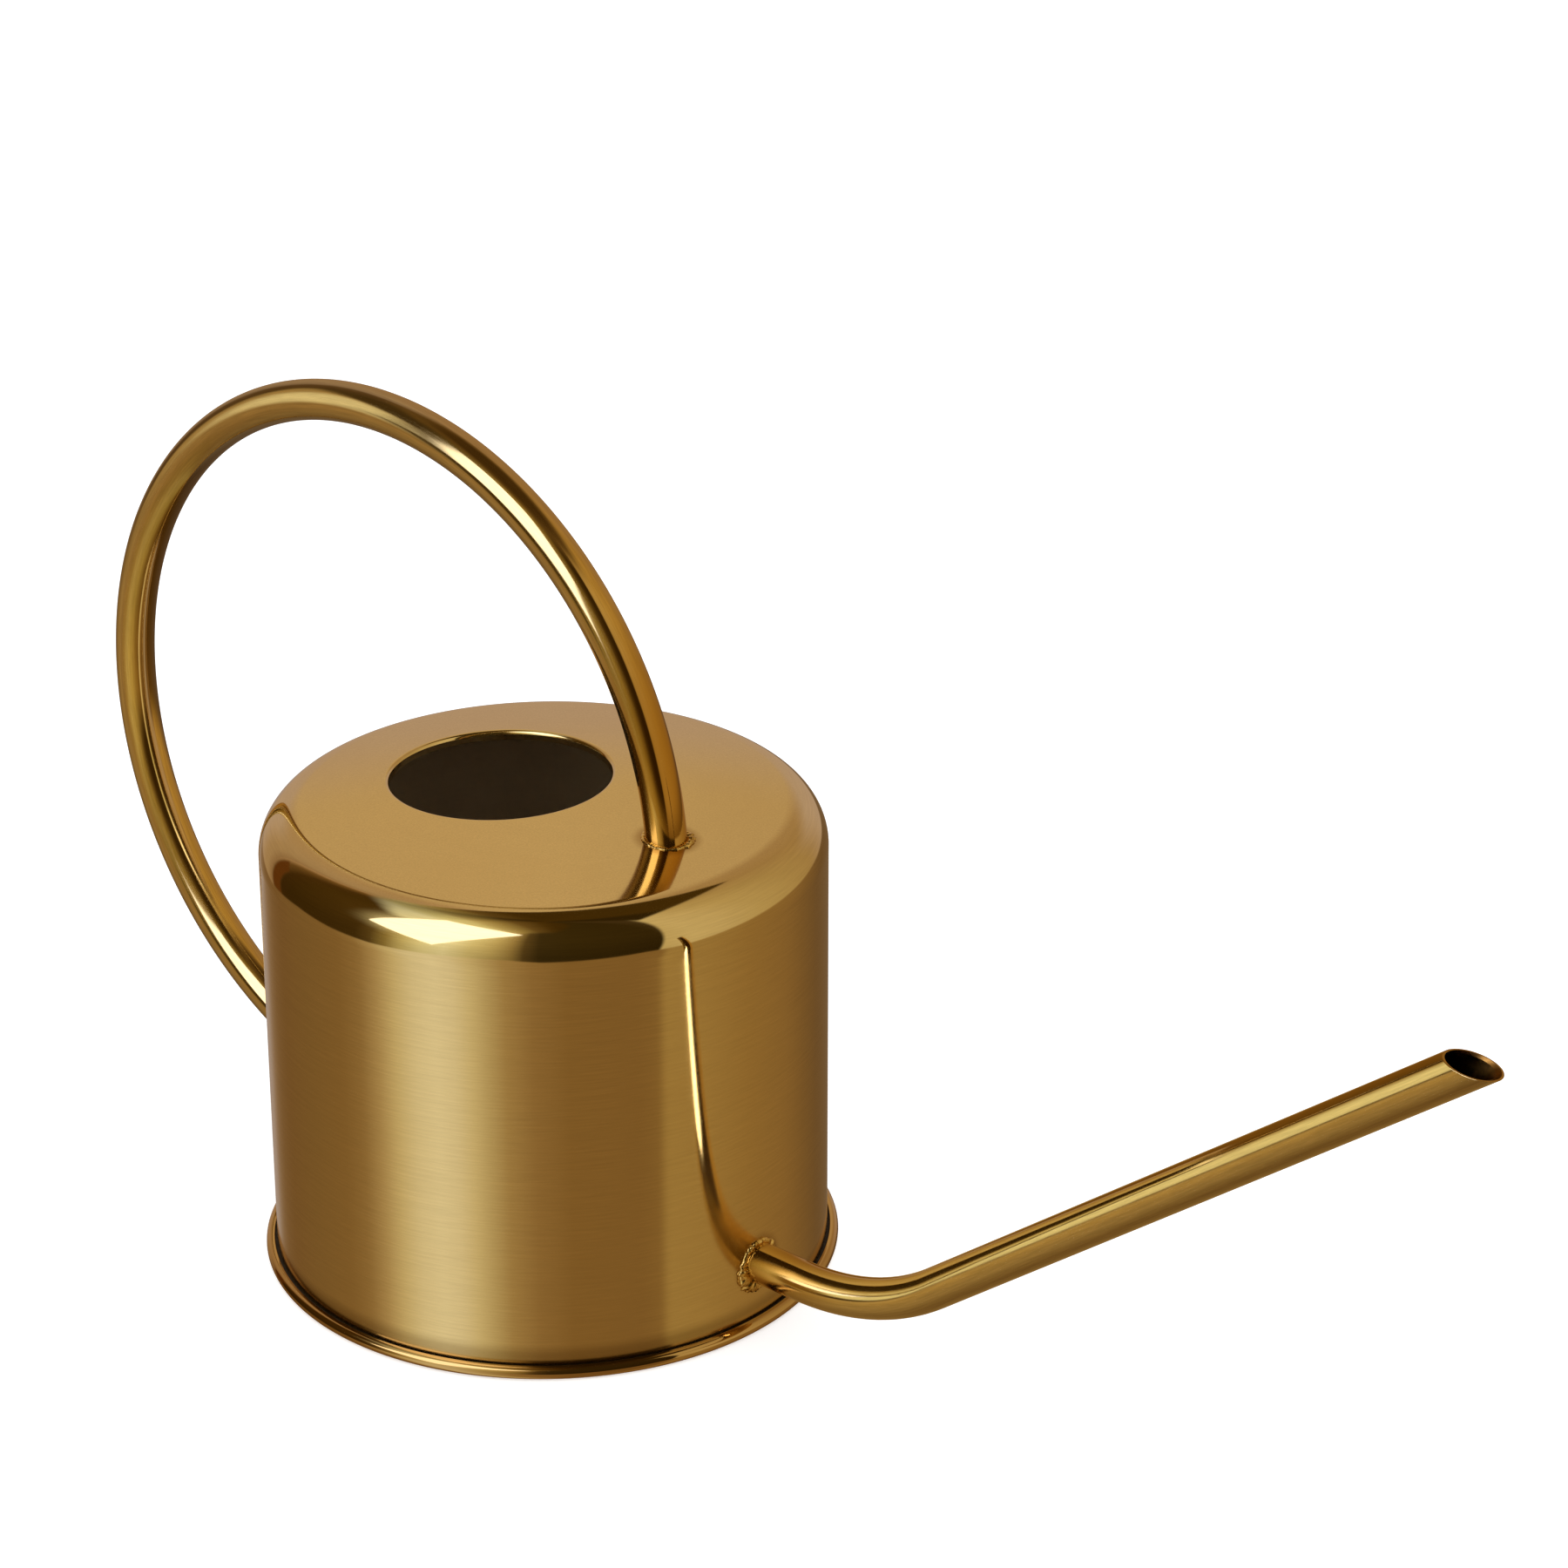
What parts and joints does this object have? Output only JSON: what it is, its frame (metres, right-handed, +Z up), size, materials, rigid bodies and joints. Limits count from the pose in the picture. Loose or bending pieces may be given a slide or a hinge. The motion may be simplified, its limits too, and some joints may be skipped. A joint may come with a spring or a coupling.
{
  "type": "watering can",
  "caption": "Metal indoor watering can: cylindrical body with rounded shoulder and round filling mouth, ring handle of bent tube, long thin bent spout with a slanted tip.",
  "frame": {"origin": "centre of the plane that the foot rests on, under the body's axis", "axes": "+Z up along the body's axis, +X towards the spout, the handle behind in the XZ plane"},
  "size_m": [0.3993, 0.1352, 0.1996],
  "materials": {
    "body_brass": "brushed round the body, satin",
    "base_brass": "polished",
    "tube_brass": "polished along the tube",
    "weld_metal": "rippled weld bead",
    "sealant": "matt sealing compound"
  },
  "bodies": {
    "root": {"body_shell": "body_brass", "base_plate": "base_brass", "seam_sealant": "sealant", "handle_tube": "tube_brass", "handle_top_weld": "weld_metal", "handle_rear_weld": "weld_metal", "spout_tube": "tube_brass", "spout_weld": "weld_metal"}
  },
  "joints": []
}
